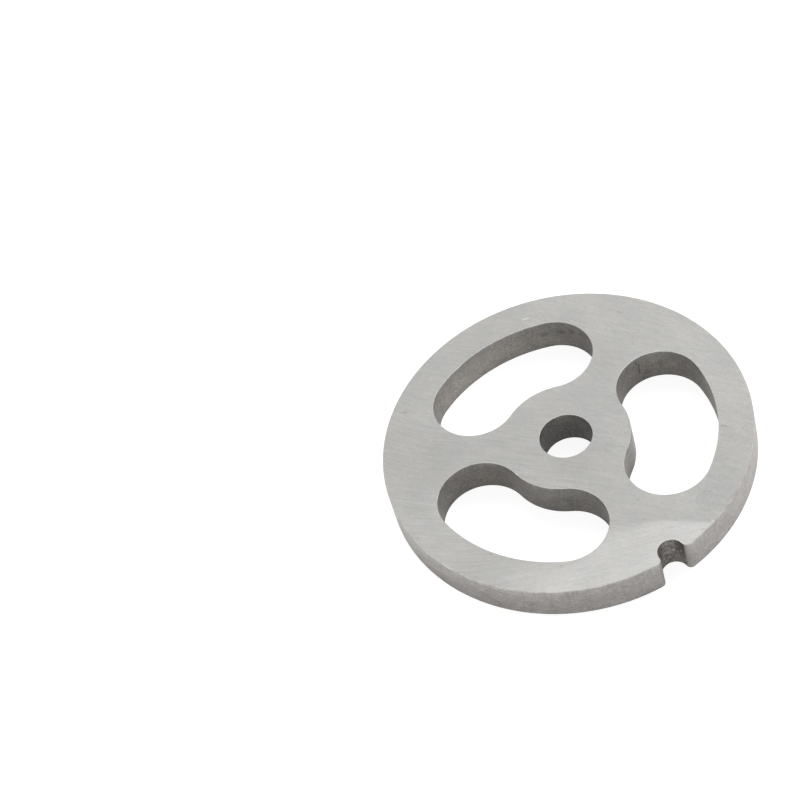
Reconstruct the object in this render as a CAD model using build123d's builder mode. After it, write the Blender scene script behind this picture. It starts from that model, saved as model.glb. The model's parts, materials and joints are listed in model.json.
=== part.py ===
from build123d import *

import os

# Kidney plate of a size 12 meat grinder: a ground steel disc with three kidney
# windows round a central bore. A pin in the grinder's housing sits in the notch in
# its rim and keeps it from turning. All sizes are in millimetres.
#
# Frame: +Z is the axis of the bore, Z = 0 is the lower face, and the notch opens
# towards -Y, in the middle of one of the three spokes.

# Disc
disc_diameter = 69.5
disc_thickness = 7.1
rim_chamfer = 0.1

# Bore, in which the stud at the end of the feed screw turns
bore_diameter = 10.0
bore_chamfer = 0.05

# Kidney windows: slots of one width along arcs about the bore
window_count = 3
window_width = 16.1
window_centreline_radius = 20.2
window_arc_angle = 51.4
window_chamfer = 0.05

# Notch: a round bottom, straight sides and rounded corners at its mouth
notch_width = 4.9
notch_depth = 3.6
notch_corner_radius = 1.0

# Worked out from the sizes above
disc_radius = disc_diameter / 2
window_pitch_angle = 360 / window_count
notch_direction = -90
first_window_direction = notch_direction + window_pitch_angle / 2
notch_bottom_centre = disc_radius - notch_depth + notch_width / 2


with BuildPart() as kidney_plate:
    # The disc, with the notch in its outline. Offset in and back out, the outline
    # keeps its shape, except that the two corners of the notch's mouth come out round.
    with BuildSketch():
        Circle(disc_radius)
        with Locations((0, -notch_bottom_centre)):
            Circle(notch_width / 2, mode=Mode.SUBTRACT)
            Rectangle(
                notch_width,
                notch_depth,
                align=(Align.CENTER, Align.MAX),
                mode=Mode.SUBTRACT,
            )
        offset(amount=-notch_corner_radius)
        offset(amount=notch_corner_radius)
    extrude(amount=disc_thickness)
    outline_edges = kidney_plate.edges().filter_by(Plane.XY)
    chamfer(outline_edges, rim_chamfer)

    # The windows, in a ring about the bore
    with BuildSketch():
        with BuildLine(mode=Mode.PRIVATE) as centreline:
            CenterArc(
                center=(0, 0),
                radius=window_centreline_radius,
                start_angle=-window_arc_angle / 2,
                arc_size=window_arc_angle,
            )
        with PolarLocations(0, window_count, start_angle=first_window_direction):
            SlotArc(centreline.edge(), window_width)
    extrude(amount=disc_thickness, mode=Mode.SUBTRACT)
    window_edges = kidney_plate.edges(Select.LAST).filter_by(Plane.XY)
    chamfer(window_edges, window_chamfer)

    # The bore
    Hole(bore_diameter / 2)
    bore_edges = kidney_plate.edges(Select.LAST).filter_by(GeomType.CIRCLE)
    chamfer(bore_edges, bore_chamfer)

kidney_plate.part.label = "kidney_plate"
os.makedirs("parts", exist_ok=True)
export_step(kidney_plate.part, "parts/kidney_plate.step")
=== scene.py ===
"""Kidney plate of a meat grinder: one disc of ground steel, lying on a white studio floor."""

import json
import math

import bpy
from mathutils import Matrix, Vector


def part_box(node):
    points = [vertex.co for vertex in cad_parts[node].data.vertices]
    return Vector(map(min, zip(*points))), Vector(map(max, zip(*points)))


MM = 0.001

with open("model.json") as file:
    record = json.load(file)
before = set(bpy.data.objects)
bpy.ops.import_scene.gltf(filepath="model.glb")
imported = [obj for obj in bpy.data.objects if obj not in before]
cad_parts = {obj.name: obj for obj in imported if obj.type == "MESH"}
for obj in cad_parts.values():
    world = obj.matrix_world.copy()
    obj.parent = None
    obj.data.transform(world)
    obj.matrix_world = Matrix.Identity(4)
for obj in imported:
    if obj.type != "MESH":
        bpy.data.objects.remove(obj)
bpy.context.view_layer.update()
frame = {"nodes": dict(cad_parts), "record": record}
plate = frame["nodes"]["kidney_plate"]
mounts = {m["name"]: m for m in frame["record"]["mounts"]}

# Sizes read from the frame
lowest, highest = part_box("kidney_plate")
thickness = highest.z - lowest.z
disc_radius = mounts["rim"]["dims"]["r_mm"] * MM
bore_radius = mounts["bore"]["dims"]["r_mm"] * MM
notch_bottom_y = mounts["notch"]["pos_m"][1]

# Camera, set from the photograph
PHOTO_SIZE_PX = 800  # the photograph is square
PLATE_CENTRE_PX = (565.85, 435.90)
CAMERA_AZIMUTH = math.radians(-17.1)
CAMERA_ELEVATION = math.radians(49.46)
CAMERA_ROLL = math.radians(-18.62)
CAMERA_DISTANCE = 0.4516
CAMERA_LENS_MM = 109.62
CAMERA_SENSOR_MM = 36.0


def make_camera():
    """The camera, turned so that the middle of the upper face falls on its place in the photograph."""
    a, e = CAMERA_AZIMUTH, CAMERA_ELEVATION
    back = Vector((math.sin(a) * math.cos(e), -math.cos(a) * math.cos(e), math.sin(e)))
    level_right = Vector((math.cos(a), math.sin(a), 0))
    level_up = back.cross(level_right)
    right = math.cos(CAMERA_ROLL) * level_right + math.sin(CAMERA_ROLL) * level_up
    up = math.cos(CAMERA_ROLL) * level_up - math.sin(CAMERA_ROLL) * level_right
    metres_per_px = CAMERA_SENSOR_MM / CAMERA_LENS_MM * CAMERA_DISTANCE / PHOTO_SIZE_PX
    across = (PLATE_CENTRE_PX[0] - PHOTO_SIZE_PX / 2) * metres_per_px
    down = (PLATE_CENTRE_PX[1] - PHOTO_SIZE_PX / 2) * metres_per_px
    face_centre = Vector((0, 0, thickness))
    data = bpy.data.cameras.new("camera")
    data.lens = CAMERA_LENS_MM
    data.sensor_width = CAMERA_SENSOR_MM
    camera = bpy.data.objects.new("camera", data)
    place = face_centre - across * right + down * up + CAMERA_DISTANCE * back
    turn = Matrix((right, up, back)).transposed().to_4x4()
    camera.matrix_world = Matrix.Translation(place) @ turn
    bpy.context.scene.collection.objects.link(camera)
    bpy.context.scene.camera = camera


NOISE_REACH = 0.2  # how far from 0.5 a noise mostly lies


class Nodes:
    """Short calls for building a node tree."""

    def __init__(self, tree):
        self.tree = tree
        tree.nodes.clear()

    def put(self, socket, value):
        """Sets an input, or links it where the value is a socket."""
        if isinstance(value, bpy.types.NodeSocket):
            self.tree.links.new(value, socket)
        else:
            socket.default_value = value

    def add(self, kind, *inputs, output=0, **settings):
        """Adds a node. Inputs are sockets or plain values, in the order of its sockets."""
        node = self.tree.nodes.new(kind)
        for name, value in settings.items():
            setattr(node, name, value)
        for socket, value in zip(node.inputs, inputs):
            self.put(socket, value)
        return node.outputs[output]

    def end(self, kind, surface):
        """Adds the output node of the tree."""
        out = self.tree.nodes.new(kind)
        self.put(out.inputs["Surface"], surface)

    def maths(self, operation, *inputs):
        return self.add("ShaderNodeMath", *inputs, operation=operation)

    def times(self, first, *others):
        """Multiplies numbers."""
        for other in others:
            first = self.maths("MULTIPLY", first, other)
        return first

    def scaled(self, vector, factor):
        """Multiplies a place or a colour by a number."""
        node = self.tree.nodes.new("ShaderNodeVectorMath")
        node.operation = "SCALE"
        self.put(node.inputs[0], vector)
        self.put(node.inputs["Scale"], factor)
        return node.outputs[0]

    def tinted(self, colour, tint):
        """Multiplies two colours."""
        return self.add("ShaderNodeVectorMath", colour, tint, operation="MULTIPLY")

    def ramp(self, value, low, high, to_low=0.0, to_high=1.0):
        """value from low to high becomes to_low to to_high, smoothly and no further."""
        node = self.tree.nodes.new("ShaderNodeMapRange")
        node.interpolation_type = "SMOOTHSTEP"
        for name, item in (("Value", value), ("From Min", low), ("From Max", high),
                           ("To Min", to_low), ("To Max", to_high)):
            self.put(node.inputs[name], item)
        return node.outputs["Result"]

    def vary(self, noise, swing, reach=NOISE_REACH, middle=1.0):
        """From the swing below the middle to the swing above it, as noise goes from reach below 0.5
        to reach above it."""
        return self.ramp(noise, 0.5 - reach, 0.5 + reach, middle - swing, middle + swing)

    def vary_by(self, noise, swing, reach=NOISE_REACH):
        """The same about 1, where the swing is a socket."""
        return self.maths("MULTIPLY_ADD", self.ramp(noise, 0.5 - reach, 0.5 + reach, -1.0, 1.0), swing, 1.0)

    def mixed(self, kind, factor, a, b, inputs, output):
        """Mixes two values, whose sockets on the node depend on their kind."""
        node = self.tree.nodes.new("ShaderNodeMix")
        node.data_type = kind
        for index, value in zip((0, *inputs), (factor, a, b)):
            self.put(node.inputs[index], value)
        return node.outputs[output]

    def mix(self, factor, a, b):
        """Mixes two colours."""
        return self.mixed("RGBA", factor, a, b, inputs=(6, 7), output=2)

    def blend(self, factor, a, b):
        """Mixes two numbers."""
        return self.mixed("FLOAT", factor, a, b, inputs=(2, 3), output=0)

    def noise(self, place, scale, detail=2.0, roughness=0.5):
        """Noise with about that many features to the unit of the place."""
        node = self.tree.nodes.new("ShaderNodeTexNoise")
        for name, value in (("Vector", place), ("Scale", scale),
                            ("Detail", detail), ("Roughness", roughness)):
            self.put(node.inputs[name], value)
        return node.outputs["Fac"]

    def line_noise(self, place, direction, length, width, detail=2.0, roughness=0.5):
        """Noise drawn out in lines of that direction, length and width."""
        node = self.tree.nodes.new("ShaderNodeMapping")
        node.vector_type = "TEXTURE"
        self.put(node.inputs["Vector"], place)
        node.inputs["Rotation"].default_value = (0, 0, math.radians(direction))
        node.inputs["Scale"].default_value = (length, width, width)
        return self.noise(node.outputs[0], 1.0, detail, roughness)


# The steel. All places and sizes below are in millimetres in the frame of the CAD: x to the right, y to
# the back, z up, and the notch in front. Directions are in degrees from x. A swing is the part of the
# brightness by which a noise makes the steel lighter and darker, and a factor multiplies the brightness.
AXIS = (0.0, 0.0)
FACE_TOP = thickness / MM

# Where the plate has its ground face and its walls: the part of the normal that points up or down,
# and how far from the disc's, the bore's and the notch's radius a wall may lie
FACE_UPWARD = dict(low=0.55, high=0.85)
RIM_MARGIN = 0.9
BORE_MARGIN = 0.3
NOTCH_MARGIN = 0.06
NOTCH_RADIUS = 2.45

# Colours
FACE_COLOUR = (0.484, 0.475, 0.454, 1)
FACE_COOL = (0.474, 0.474, 0.463, 1)
RIM_COLOUR = (0.461, 0.443, 0.426, 1)
WINDOW_COLOUR = (0.276, 0.265, 0.252, 1)
BORE_COLOUR = (0.224, 0.215, 0.204, 1)
NOTCH_COLOUR = (0.270, 0.257, 0.242, 1)
UNSTAINED = (1, 1, 1, 1)
WARM_STAIN = (1.033, 0.997, 0.967, 1)
TINT = dict(scale=0.22, detail=3.0)
TINT_PLACES = dict(low=0.35, high=0.65)
WARM_PLACES = dict(low=0.40, high=0.62)
WARM_HEIGHT = dict(low=3.5, high=6.0, to_low=1.0, to_high=0.4)

# Roughness and relief
FACE_ROUGHNESS = 0.30
FACE_ROUGHNESS_SWING = 0.05
WALL_ROUGHNESS = 0.42
WALL_ROUGHNESS_SWING = 0.06
RELIEF_DEPTH = 0.006
WALL_RELIEF = 3.0  # times as deep as that of the face

# Lines of the ground face
GRIND_LINES = dict(direction=-50, length=8.0, width=0.40, detail=3.0, roughness=0.6)
LONG_LINES = dict(direction=-50, length=30.0, width=0.9)
CROSS_LINES = dict(direction=-66, length=3.0, width=0.35)
SCRATCHES = dict(direction=-58, length=12.0, width=0.22, detail=1.0)
LEFT_ARCS = dict(centre=(7.0, 38.0), radius=48.0, length=8.0, width=0.40, detail=3.0, roughness=0.6)
SWEEP_LINES = dict(direction=-24, length=8.0, width=0.36, detail=3.0, roughness=0.6)
SWEEP_BANDS = dict(direction=-24, length=24.0, width=1.8)
CROSS_SHARE = 0.65
SWEEP_LINES_SHARE = 0.9
LEFT_SIDE = dict(low=-22.0, high=-10.0, to_low=1.0, to_high=0.0)
RIGHT_SIDE = dict(low=-8.0, high=12.0)

# Noise of the ground face without a direction
MOTTLE = dict(scale=0.9, detail=4.0, roughness=0.6)
PITS = dict(scale=2.3, detail=3.0, roughness=0.6)
CLOUD = dict(scale=0.11)

# How much they show. The lines stand out most on the hub and least in the sweep.
LINES_REACH = 0.25
LINES_SWING = dict(low=12.0, high=16.0, to_low=0.055, to_high=0.04)  # by the distance from the axis
SWEEP_LINES_SWING = 0.028
RIGHT_LINES_FACTOR = 0.72
PITS_SWING = 0.035
RIGHT_PITS_SWING = 0.042
LEFT_ARCS_SWING = 0.015
LONG_LINES_SWING = 0.015
MOTTLE_SWING = 0.02
CLOUD_SWING = 0.025
CLOUD_REACH = 0.15
LIGHT_SCRATCHES = dict(low=0.66, high=0.74, to_low=1.0, to_high=1.04)
DARK_SCRATCHES = dict(low=0.26, high=0.34, to_low=0.965, to_high=1.0)
# Painted light: the face a little brighter towards the right
PAINTED_LIGHT_TO_RIGHT = dict(low=-10.0, high=32.0, to_low=0.985, to_high=1.035)

# The sweep across the front of the upper face: ground in its own direction, and made brighter by a painted
# sheen. It is the inside of a circle whose edge is soft
# at the left and crisp at the right: how deep inside the circle it starts, and how deep it is full.
SWEEP_CENTRE = (-21.5, -60.0)
SWEEP_RADIUS = 40.9
SWEEP_START = dict(low=-24.0, high=4.0, to_low=-4.0, to_high=0.0)
SWEEP_FULL = dict(low=-24.0, high=4.0, to_low=11.0, to_high=0.8)
SWEEP_PAINTED_SHEEN_FACTOR = 1.24
SWEEP_BANDS_SWING = 0.015

# Tool marks on the walls: features to the millimetre round the axis and up it
UPRIGHT_LINES = (2.8, 0.25)
TURNED_LINES = (0.22, 2.0)
WALL_LINES_NOISE = dict(detail=3.0, roughness=0.6)
INSIDE_UPRIGHT_SHARE = 0.3
RIM_UPRIGHT = dict(low=-95.0, high=-60.0)  # by the distance round the axis
INSIDE_LINES_SWING = 0.07
RIM_TURNED_SWING = 0.15
RIM_UPRIGHT_SWING = 0.05

# Stains and specks on the walls, their painted shadow and highlights, and how much they show
STAINS = dict(scale=0.45, detail=3.0, roughness=0.6)
BLOTCHES = dict(scale=1.25, detail=4.0, roughness=0.65)
SPECKLE = dict(scale=3.2, detail=4.0, roughness=0.75)
GRIT = dict(scale=4.6, detail=2.0, roughness=0.7)
STAINS_SWING = 0.07
SPECKLE_SWING = 0.21
BLOTCHES_SWING = 0.09
GRIT_SWING = 0.24
BORE_SPECKLE_SWING = 0.12
NOTCH_SPECKLE_SWING = 0.14
NOTCH_BLOTCHES = dict(low=0.35, high=0.65, to_low=0.80, to_high=1.22)
SHARPER_REACH = 0.15
# Painted shadow at the foot of the walls
PAINTED_FOOT_SHADOW = dict(low=0.05, high=0.5, to_low=0.84, to_high=1.0)
# Painted highlight along the walls' upper edge, in places
EDGE_GLINT_HEIGHT = dict(low=6.55, high=6.95)
EDGE_GLINT_PLACES = dict(low=0.35, high=0.6)
EDGE_GLINT_FACTOR = 1.28
# Painted highlight on the edges of the openings
ARRIS_HIGHLIGHT_FACTOR = 1.7

# The ring of a dried drop, light outside and dark inside, and the part of it that shows
DROP_CENTRE = (11.2, -28.6)
DROP_RINGS = [(2.1, 1.08), (1.6, 0.94)]  # radius and factor
DROP_RING_WIDTH = 0.26
DROP_SHOWN_CENTRE = (9.8, -27.1, FACE_TOP)
DROP_SHOWN_SIZE = (3.4, 3.0, 3.0)
DROP_SHOWN = dict(low=0.5, high=0.75)

# How soft the edges of the marks are: at 1 a mark fades all the way out from its middle
FACE_PATCH_SOFT = 1.0
WALL_PATCH_SOFT = 0.8
WALL_MARK_SOFT = 0.6
FACE_MARK_SOFT = 0.35

# The upright size of the marks of the upper face
PATCH_HEIGHT = 4.0
MARK_HEIGHT = 1.0

# Marks of the upper face: name, centre, size along its direction and across it, direction and factor.
# A size is the whole length or width, measured where half of the factor's effect shows.
# Patches: partly the steel's own stains, partly painted reflection and shade on broad parts of the face
FACE_STAINS_AND_PAINTED_SHEEN = [
    ("rear_left", (-17.5, 19.0), (9.0, 6.0), 45, 1.03),
    ("left_spoke", (-24.0, 12.0), (20.0, 9.0), -45, 0.955),
    ("left_edge", (-30.0, -2.5), (13.0, 11.0), -80, 1.07),
    ("front_left", (-24.5, -19.0), (16.0, 7.0), -50, 1.06),
    ("hub_low", (-1.0, -8.5), (11.0, 6.0), -20, 0.97),
    ("right_spoke", (25.0, 15.0), (9.0, 6.0), -35, 1.02),
    ("hub_right", (4.5, -2.0), (12.0, 18.0), 20, 0.965),
    ("right_of_rear_window", (16.5, 9.5), (8.0, 6.0), 40, 0.955),
    ("beside_sweep", (15.0, -29.5), (12.0, 6.0), 20, 0.965),
    ("right_front", (21.0, -23.0), (20.0, 10.0), 50, 0.935),
    ("below_notch_left", (-4.5, -32.5), (12.0, 4.5), -10, 1.03),
    ("notch_sides", (3.0, -30.0), (16.0, 8.0), -20, 0.96),
]

FACE_MARKS = [
    ("white_scratch", (9.8, 29.0), (0.9, 0.2), -27, 1.55),
    ("white_scratch_end", (10.4, 28.75), (0.8, 0.15), -14, 1.45),
    ("dark_nick_right", (24.7, 18.1), (1.0, 0.25), -60, 0.80),
    ("dark_nick_low", (23.45, -17.0), (0.6, 0.26), -42, 0.70),
    ("dark_nick_low_end", (23.8, -17.5), (0.5, 0.26), -50, 0.74),
    ("hub_nick_left", (-12.0, -1.4), (0.4, 0.3), 0, 1.25),
    ("hub_nick_right", (10.4, -5.8), (0.5, 0.4), 0, 0.82),
    ("dot_1", (1.9, -20.7), (0.45, 0.4), 0, 0.78),
    ("dot_2", (0.3, -25.1), (0.4, 0.35), 0, 0.82),
    ("dot_3", (-20.35, 24.9), (0.4, 0.35), 0, 0.62),
    ("dot_3_side", (-20.75, 25.25), (0.35, 0.3), 0, 0.70),
    ("dot_4", (-12.5, 29.4), (0.4, 0.35), 0, 0.84),
    ("dot_5", (24.5, 9.6), (0.4, 0.35), 0, 0.84),
    ("dot_6", (-25.4, -13.5), (0.4, 0.35), 0, 0.80),
    ("dot_7", (-16.9, -23.7), (0.4, 0.35), 0, 0.84),
    ("dot_8", (-34.0, -1.6), (0.45, 0.35), 0, 0.80),
    ("stain_end_1", (12.15, -26.95), (0.6, 0.4), -30, 0.86),
    ("stain_end_2", (12.85, -27.65), (0.45, 0.4), 0, 0.88),
    ("notch_corner_glint", (9.45, -33.2), (0.6, 0.4), -20, 1.3),
    ("scratch_hub_1", (-7.8, 2.0), (6.0, 0.22), -55, 1.05),
    ("scratch_hub_2", (-7.2, 1.0), (5.0, 0.22), -55, 0.95),
]

# Marks of the walls: the same, with a height of the centre and a size upright
# Patches: partly painted light and shade, such as brighter low walls in the windows, a brighter bore, a
# darker front of the rim and a highlight along the rim's upper left edge; partly the steel's own stains
WALL_STAINS_AND_PAINTED_LIGHT = [
    ("rear_window_outer_left", (-9.6, 26.8, 3.5), (24.0, 7.0, 14.0), 20, 1.19),
    ("rear_window_left_top", (-11.0, 25.0, 6.6), (24.0, 10.0, 4.5), 30, 0.92),
    ("left_window_top_arc", (-17.0, 5.0, 4.8), (9.0, 7.0, 3.0), 0, 0.93),
    ("rear_window_right_end", (18.0, 18.0, 3.5), (12.0, 7.0, 14.0), -60, 0.96),
    ("right_window_far_end", (27.0, 0.0, 3.5), (12.0, 9.0, 14.0), 70, 0.93),
    ("left_window_near_end", (-18.0, -4.0, 3.5), (10.0, 8.0, 14.0), 0, 0.98),
    ("right_window_inner", (15.5, 6.0, 3.5), (8.0, 6.0, 14.0), 45, 1.26),
    ("left_window_outer", (-24.5, 5.0, 3.5), (8.0, 5.0, 14.0), 40, 1.12),
    ("bore_dark_side", (3.5, 3.5, 3.0), (7.0, 5.0, 14.0), -45, 0.87),
    ("bore_left", (-5.2, -0.5, 4.0), (5.0, 7.0, 14.0), 0, 1.30),
    ("bore_top", (0.0, 0.0, 7.3), (12.0, 12.0, 5.0), 0, 1.30),
    ("rear_window_low", (2.0, 27.5, 0.3), (36.0, 9.0, 8.0), 0, 1.36),
    ("right_window_low", (27.0, 0.0, 0.3), (12.0, 14.0, 7.0), 0, 1.10),
    ("left_window_low", (-18.0, -4.0, 0.3), (16.0, 14.0, 7.0), 0, 1.14),
    ("rim_front_right", (18.5, -29.5, 0.5), (24.0, 8.0, 7.0), 30, 1.12),
    ("rim_left", (-31.0, -15.7, 5.5), (30.0, 8.0, 7.0), -60, 1.08),
    ("rim_left_arris", (-30.5, -16.5, 7.1), (34.0, 9.0, 1.8), -60, 1.18),
    ("rim_front", (-2.0, -34.5, 3.5), (12.0, 4.0, 8.0), 0, 0.88),
    ("rim_far_left", (-34.5, 2.0, 3.5), (12.0, 5.0, 14.0), 90, 1.07),
    ("rim_low", (-14.0, -31.0, 0.0), (34.0, 12.0, 5.0), -25, 1.07),
]

WALL_MARKS = [
    ("notch_speck_1", (1.48, -31.62, 3.85), (0.35, 0.35, 0.45), 0, 2.6),
    ("notch_speck_2", (2.36, -32.91, 4.15), (0.35, 0.35, 0.45), 0, 3.2),
    ("notch_speck_3", (0.61, -31.21, 2.0), (0.35, 0.3, 0.4), 0, 1.9),
    ("notch_speck_4", (-0.43, -31.18, 2.3), (0.35, 0.3, 0.4), 0, 1.8),
    ("notch_speck_5", (-1.57, -31.71, 5.85), (0.35, 0.35, 0.4), 0, 1.8),
    ("right_window_streak_1", (20.2, 6.55, 5.85), (0.4, 0.8, 0.7), 0, 0.62),
    ("right_window_streak_2", (20.75, 6.55, 5.0), (0.4, 0.8, 0.6), 0, 0.62),
    ("right_window_streak_3", (20.65, 6.5, 3.5), (0.4, 0.8, 2.4), 0, 0.62),
    ("right_window_smudge_1", (22.0, 6.3, 1.9), (1.2, 1.0, 0.9), 0, 0.80),
    ("right_window_smudge_2", (24.8, 5.1, 3.5), (1.6, 1.2, 1.1), -30, 0.80),
    ("hub_wall_light_stripe", (9.95, -6.95, 3.0), (0.9, 2.0, 8.0), 0, 1.14),
    ("hub_wall_dark", (7.2, -9.7, 4.2), (3.6, 2.4, 7.0), -40, 0.90),
    ("rear_window_smudge_1", (14.45, 23.9, 4.2), (1.8, 1.2, 1.1), -35, 0.70),
    ("rear_window_smudge_2", (11.65, 25.76, 3.9), (1.6, 1.2, 1.1), -30, 0.80),
    ("rear_window_smudge_3", (8.85, 26.87, 2.9), (1.8, 1.2, 1.0), -20, 0.84),
    ("rear_window_smudge_4", (15.8, 22.1, 4.75), (1.2, 1.2, 1.2), -60, 0.76),
    ("rear_window_smudge_5", (16.6, 20.0, 5.7), (1.2, 1.2, 1.0), -80, 0.82),
    ("rear_window_band", (12.4, 25.1, 5.4), (14.0, 3.4, 3.2), -33, 0.90),
    ("left_window_top", (-12.4, 0.8, 6.4), (3.4, 1.4, 1.6), 80, 0.86),
]


def from_centre(n, x, y, centre):
    """How far a place lies from a centre in x and in y."""
    return n.maths("SUBTRACT", x, centre[0]), n.maths("SUBTRACT", y, centre[1])


def reach_from(n, x, y, centre):
    """The distance from a centre in plan."""
    dx, dy = from_centre(n, x, y, centre)
    return n.maths("SQRT", n.maths("ADD", n.times(dx, dx), n.times(dy, dy)))


def bearing_from(n, x, y, centre):
    """The direction from a centre in plan, in radians."""
    dx, dy = from_centre(n, x, y, centre)
    return n.maths("ARCTAN2", dy, dx)


def arc_lines(n, x, y, centre, radius, length, width, detail, roughness):
    """Noise drawn out along arcs about a centre, with lines of that length at that radius."""
    along = n.times(bearing_from(n, x, y, centre), radius / length)
    across = n.maths("DIVIDE", reach_from(n, x, y, centre), width)
    return n.noise(n.add("ShaderNodeCombineXYZ", along, across, 0.0), 1.0, detail, roughness)


def spot(n, place, centre, size, direction, name):
    """1 in the middle of a mark, 0.5 at its edge and 0 where a mark of twice its size would end."""
    node = n.tree.nodes.new("ShaderNodeTexGradient")
    node.label = name
    node.gradient_type = "SPHERICAL"
    node.texture_mapping.vector_type = "TEXTURE"
    node.texture_mapping.translation = centre
    node.texture_mapping.rotation = (0, 0, math.radians(direction))
    node.texture_mapping.scale = size
    n.put(node.inputs["Vector"], place)
    return node.outputs["Fac"]


def marked(n, place, tone, marks, soft):
    """Makes the places in a list of marks brighter or darker."""
    for name, centre, size, direction, factor in marks:
        inside = spot(n, place, centre, size, direction, name)
        tone = n.times(tone, n.ramp(inside, 0.5 - soft / 2, 0.5 + soft / 2, 1.0, factor))
    return tone


def on_face(marks, height):
    """Puts marks given in plan on the upper face."""
    return [(name, (*centre, FACE_TOP), (*size, height), direction, factor)
            for name, centre, size, direction, factor in marks]


def drop_stain(n, mm, x, y, tone):
    """The faint ring that a drop has left."""
    reach = reach_from(n, x, y, DROP_CENTRE)
    shown = n.ramp(spot(n, mm, DROP_SHOWN_CENTRE, DROP_SHOWN_SIZE, 0, "drop_stain"), **DROP_SHOWN)
    for radius, factor in DROP_RINGS:
        off = n.maths("ABSOLUTE", n.maths("SUBTRACT", reach, radius))
        ring = n.times(shown, n.ramp(off, 0.0, DROP_RING_WIDTH, 1.0, 0.0))
        tone = n.times(tone, n.blend(ring, 1.0, factor))
    return tone


def in_sweep(n, x, y, z):
    """1 in the brighter sweep of the upper face, 0 outside it."""
    depth = n.maths("SUBTRACT", SWEEP_RADIUS, reach_from(n, x, y, SWEEP_CENTRE))
    inside = n.ramp(depth, n.ramp(x, **SWEEP_START), n.ramp(x, **SWEEP_FULL))
    return n.times(inside, n.maths("GREATER_THAN", z, FACE_TOP / 2))


def face_tone(n, mm, x, y, z, radius):
    """How bright the ground face is against its plain colour, with its painted sheen and shade, and its
    grain.
    """
    right = n.ramp(x, **RIGHT_SIDE)
    left = n.ramp(x, **LEFT_SIDE)
    sweep = in_sweep(n, x, y, z)

    lines = n.line_noise(mm, **GRIND_LINES)
    crossed = n.blend(CROSS_SHARE, lines, n.line_noise(mm, **CROSS_LINES))
    left_arcs = arc_lines(n, x, y, **LEFT_ARCS)
    ground = n.blend(left, n.blend(right, lines, crossed), left_arcs)
    grain = n.blend(n.times(sweep, SWEEP_LINES_SHARE), ground, n.line_noise(mm, **SWEEP_LINES))
    scratches = n.line_noise(mm, **SCRATCHES)

    contrast = n.blend(sweep, n.ramp(radius, **LINES_SWING), SWEEP_LINES_SWING)
    contrast = n.times(contrast, n.blend(right, 1.0, RIGHT_LINES_FACTOR))
    tone = n.times(
        n.vary_by(grain, contrast, reach=LINES_REACH),
        n.vary_by(n.noise(mm, **PITS), n.blend(right, PITS_SWING, RIGHT_PITS_SWING)),
        n.blend(left, 1.0, n.vary(left_arcs, LEFT_ARCS_SWING)),
        n.vary(n.line_noise(mm, **LONG_LINES), LONG_LINES_SWING),
        n.vary(n.noise(mm, **MOTTLE), MOTTLE_SWING),
        n.vary(n.noise(mm, **CLOUD), CLOUD_SWING, reach=CLOUD_REACH),
        n.ramp(scratches, **LIGHT_SCRATCHES),
        n.ramp(scratches, **DARK_SCRATCHES),
        # painted light: brighter towards the right
        n.ramp(x, **PAINTED_LIGHT_TO_RIGHT),
    )
    # Painted sheen: the sweep made brighter, in bands
    bands = n.vary(n.line_noise(mm, **SWEEP_BANDS), SWEEP_BANDS_SWING)
    tone = n.times(tone, n.blend(sweep, 1.0, n.times(bands, SWEEP_PAINTED_SHEEN_FACTOR)))
    # Stains, and painted reflection and shade, in broad patches
    tone = marked(n, mm, tone, on_face(FACE_STAINS_AND_PAINTED_SHEEN, PATCH_HEIGHT), FACE_PATCH_SOFT)
    tone = marked(n, mm, tone, on_face(FACE_MARKS, MARK_HEIGHT), FACE_MARK_SOFT)
    return drop_stain(n, mm, x, y, tone), grain


def wall_lines(n, turn, z, around, upward):
    """Noise drawn out along or up a wall."""
    place = n.add("ShaderNodeCombineXYZ", n.times(turn, around), 0.0, n.times(z, upward))
    return n.noise(place, 1.0, **WALL_LINES_NOISE)


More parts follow.
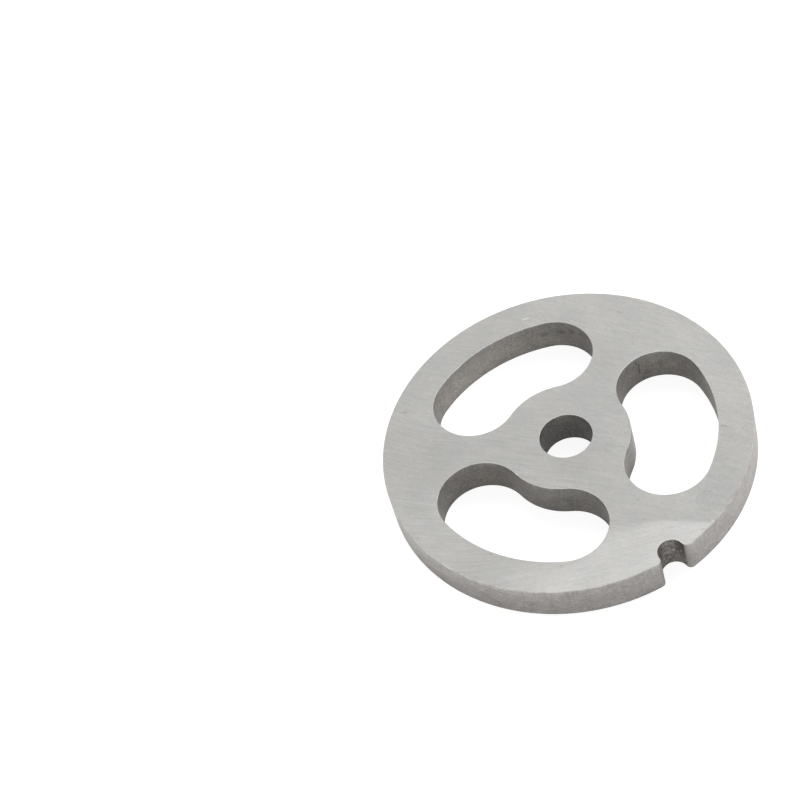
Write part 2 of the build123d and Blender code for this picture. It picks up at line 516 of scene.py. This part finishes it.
def wall_tone(n, mm, turn, z, stains, is_rim, is_bore, is_notch):
    """Tool marks and stains on the walls, with painted shade and highlights. turn is the distance round the
    bore's axis.
    """
    upright = wall_lines(n, turn, z, *UPRIGHT_LINES)
    turned = wall_lines(n, turn, z, *TURNED_LINES)
    # On the rim the marks run along it at the left and upright at the right
    rim_upright = n.ramp(turn, **RIM_UPRIGHT)
    inside_lines = n.blend(INSIDE_UPRIGHT_SHARE, turned, upright)
    lines = n.blend(is_rim, inside_lines, n.blend(rim_upright, turned, upright))
    rim_swing = n.blend(rim_upright, RIM_TURNED_SWING, RIM_UPRIGHT_SWING)
    blotches = n.noise(mm, **BLOTCHES)
    speckle = n.noise(mm, **SPECKLE)

    tone = n.times(
        n.vary_by(lines, n.blend(is_rim, INSIDE_LINES_SWING, rim_swing), reach=LINES_REACH),
        n.vary(stains, STAINS_SWING),
        n.vary(speckle, SPECKLE_SWING),
        n.vary(blotches, BLOTCHES_SWING),
        n.blend(is_rim, n.vary(n.noise(mm, **GRIT), GRIT_SWING), 1.0),
        n.blend(is_bore, 1.0, n.vary(speckle, BORE_SPECKLE_SWING, reach=SHARPER_REACH)),
        n.blend(is_notch, 1.0, n.ramp(blotches, **NOTCH_BLOTCHES)),
        n.blend(is_notch, 1.0, n.vary(speckle, NOTCH_SPECKLE_SWING, reach=SHARPER_REACH)),
    )
    # Painted shadow: a darker foot. Painted highlight: the upper edge made brighter here and there.
    edge_glint = n.times(n.ramp(z, **EDGE_GLINT_HEIGHT), n.ramp(stains, **EDGE_GLINT_PLACES))
    tone = n.times(tone, n.ramp(z, **PAINTED_FOOT_SHADOW), n.blend(edge_glint, 1.0, EDGE_GLINT_FACTOR))
    # Stains, and painted light and shade, in patches
    tone = marked(n, mm, tone, WALL_STAINS_AND_PAINTED_LIGHT, WALL_PATCH_SOFT)
    tone = marked(n, mm, tone, WALL_MARKS, WALL_MARK_SOFT)
    return tone, lines, speckle


def wall_colour(n, z, stains, is_rim, is_bore, is_notch):
    """The walls' colour, with warm stains on those of the windows and the notch."""
    colour = n.mix(is_rim, WINDOW_COLOUR, RIM_COLOUR)
    colour = n.mix(is_bore, colour, BORE_COLOUR)
    colour = n.mix(is_notch, colour, NOTCH_COLOUR)
    may_be_stained = n.maths("SUBTRACT", 1.0, n.maths("MAXIMUM", is_rim, is_bore))
    stained = n.times(n.ramp(stains, **WARM_PLACES), n.ramp(z, **WARM_HEIGHT), may_be_stained)
    return n.tinted(colour, n.mix(stained, UNSTAINED, WARM_STAIN))


def steel_material():
    """One steel with a ground face and rougher, darker walls."""
    material = bpy.data.materials.new("ground_steel")
    material.use_nodes = True
    n = Nodes(material.node_tree)
    coords = n.tree.nodes.new("ShaderNodeTexCoord")
    mm = n.scaled(coords.outputs["Object"], 1 / MM)
    x, y, z = (n.add("ShaderNodeSeparateXYZ", mm, output=i) for i in range(3))
    upward = n.maths("ABSOLUTE", n.add("ShaderNodeSeparateXYZ", coords.outputs["Normal"], output=2))
    radius = reach_from(n, x, y, AXIS)
    turn = n.times(bearing_from(n, x, y, AXIS), radius)

    is_face = n.ramp(upward, **FACE_UPWARD)
    is_rim = n.maths("GREATER_THAN", radius, disc_radius / MM - RIM_MARGIN)
    is_bore = n.maths("LESS_THAN", radius, bore_radius / MM + BORE_MARGIN)
    notch_centre = (0.0, notch_bottom_y / MM - NOTCH_RADIUS)
    is_notch = n.maths("LESS_THAN", reach_from(n, x, y, notch_centre), NOTCH_RADIUS + NOTCH_MARGIN)

    stains = n.noise(mm, **STAINS)
    wall, lines, speckle = wall_tone(n, mm, turn, z, stains, is_rim, is_bore, is_notch)
    face, grain = face_tone(n, mm, x, y, z, radius)
    face_colour = n.mix(n.ramp(n.noise(mm, **TINT), **TINT_PLACES), FACE_COOL, FACE_COLOUR)
    colour = n.mix(is_face, wall_colour(n, z, stains, is_rim, is_bore, is_notch), face_colour)
    # Painted highlight: the sharp edges of the openings are made brighter. The 4 makes this 1 halfway from
    # wall to face.
    is_arris = n.times(is_face, n.maths("SUBTRACT", 1.0, is_face), 4.0)
    arris_highlight = n.blend(is_arris, 1.0, n.blend(is_rim, ARRIS_HIGHLIGHT_FACTOR, 1.0))
    tone = n.times(n.blend(is_face, wall, face), arris_highlight)

    rough_wall = n.vary(speckle, WALL_ROUGHNESS_SWING, middle=WALL_ROUGHNESS)
    rough_face = n.vary(grain, FACE_ROUGHNESS_SWING, reach=LINES_REACH, middle=FACE_ROUGHNESS)
    bump = n.tree.nodes.new("ShaderNodeBump")
    bump.inputs["Distance"].default_value = RELIEF_DEPTH * MM
    wall_relief = n.times(n.maths("ADD", lines, speckle), WALL_RELIEF)
    n.put(bump.inputs["Height"], n.blend(is_face, wall_relief, grain))

    shader = n.tree.nodes.new("ShaderNodeBsdfPrincipled")
    shader.inputs["Metallic"].default_value = 1.0
    n.put(shader.inputs["Base Color"], n.scaled(colour, tone))
    n.put(shader.inputs["Roughness"], n.blend(is_face, rough_wall, rough_face))
    n.put(shader.inputs["Normal"], bump.outputs[0])
    n.end("ShaderNodeOutputMaterial", shader.outputs[0])
    return material


# The studio. The floor and the world show the camera and the steel another brightness than they light
# the scene with, so that white is white and the shadow stays soft.
WHITE = (1, 1, 1, 1)
FLOOR_SIZE = 3.0
FLOOR_GAP = 0.02 * MM
FLOOR_ALBEDO = 0.8
FLOOR_IN_STEEL = dict(glow=0.18, albedo=0.84)
FLOOR_FOR_CAMERA = dict(glow=0.87, albedo=0.33)
WORLD_LIGHT = 0.42
WORLD_SHOWN = 1.0
LAMP_DISTANCE = 1.2
LAMP_WIDTH = 0.6


def seen_in_steel(n):
    """1 for rays that show the floor or the world in a reflection or through glass."""
    paths = n.tree.nodes.new("ShaderNodeLightPath")
    return n.maths("MAXIMUM", paths.outputs["Is Glossy Ray"], paths.outputs["Is Transmission Ray"])


def seen_by_camera(n):
    return n.tree.nodes.new("ShaderNodeLightPath").outputs["Is Camera Ray"]


def lit_floor(n, albedo):
    return n.add("ShaderNodeBsdfDiffuse", (albedo, albedo, albedo, 1))


def shown_floor(n, glow, albedo):
    """What the floor shows: a glow of its own and the light that falls on it."""
    return n.add("ShaderNodeAddShader", lit_floor(n, albedo), n.add("ShaderNodeEmission", WHITE, glow))


def make_floor():
    bpy.ops.mesh.primitive_plane_add(size=FLOOR_SIZE, location=(0, 0, lowest.z - FLOOR_GAP))
    floor = bpy.context.object
    floor.name = "floor"
    material = bpy.data.materials.new("floor_white")
    material.use_nodes = True
    n = Nodes(material.node_tree)
    surface = lit_floor(n, FLOOR_ALBEDO)
    surface = n.add("ShaderNodeMixShader", seen_in_steel(n), surface, shown_floor(n, **FLOOR_IN_STEEL))
    surface = n.add("ShaderNodeMixShader", seen_by_camera(n), surface, shown_floor(n, **FLOOR_FOR_CAMERA))
    n.end("ShaderNodeOutputMaterial", surface)
    floor.data.materials.append(material)


def make_world():
    world = bpy.data.worlds.new("studio")
    world.use_nodes = True
    n = Nodes(world.node_tree)
    seen = n.maths("MAXIMUM", seen_in_steel(n), seen_by_camera(n))
    background = n.add("ShaderNodeBackground", WHITE, n.blend(seen, WORLD_LIGHT, WORLD_SHOWN))
    n.end("ShaderNodeOutputWorld", background)
    bpy.context.scene.world = world


def make_lamp(name, azimuth, elevation, level, on_steel):
    """A square softbox aimed at the plate, whose light on the floor makes white as bright as level."""
    a, e = math.radians(azimuth), math.radians(elevation)
    towards = Vector((math.cos(a) * math.cos(e), math.sin(a) * math.cos(e), math.sin(e)))
    data = bpy.data.lights.new(name, "AREA")
    data.shape = "SQUARE"
    data.size = LAMP_WIDTH
    data.energy = level * math.pi**2 * LAMP_DISTANCE**2 / math.sin(e)
    lamp = bpy.data.objects.new(name, data)
    turn = towards.to_track_quat("Z", "Y").to_matrix().to_4x4()
    lamp.matrix_world = Matrix.Translation(LAMP_DISTANCE * towards) @ turn
    lamp.visible_glossy = on_steel
    bpy.context.scene.collection.objects.link(lamp)


make_camera()
make_world()
make_floor()
make_lamp("key_light", azimuth=66, elevation=50, level=0.38, on_steel=False)
make_lamp("side_light", azimuth=10, elevation=45, level=0.25, on_steel=True)

plate.data.materials.clear()
plate.data.materials.append(steel_material())

bpy.context.scene.view_settings.view_transform = "Standard"
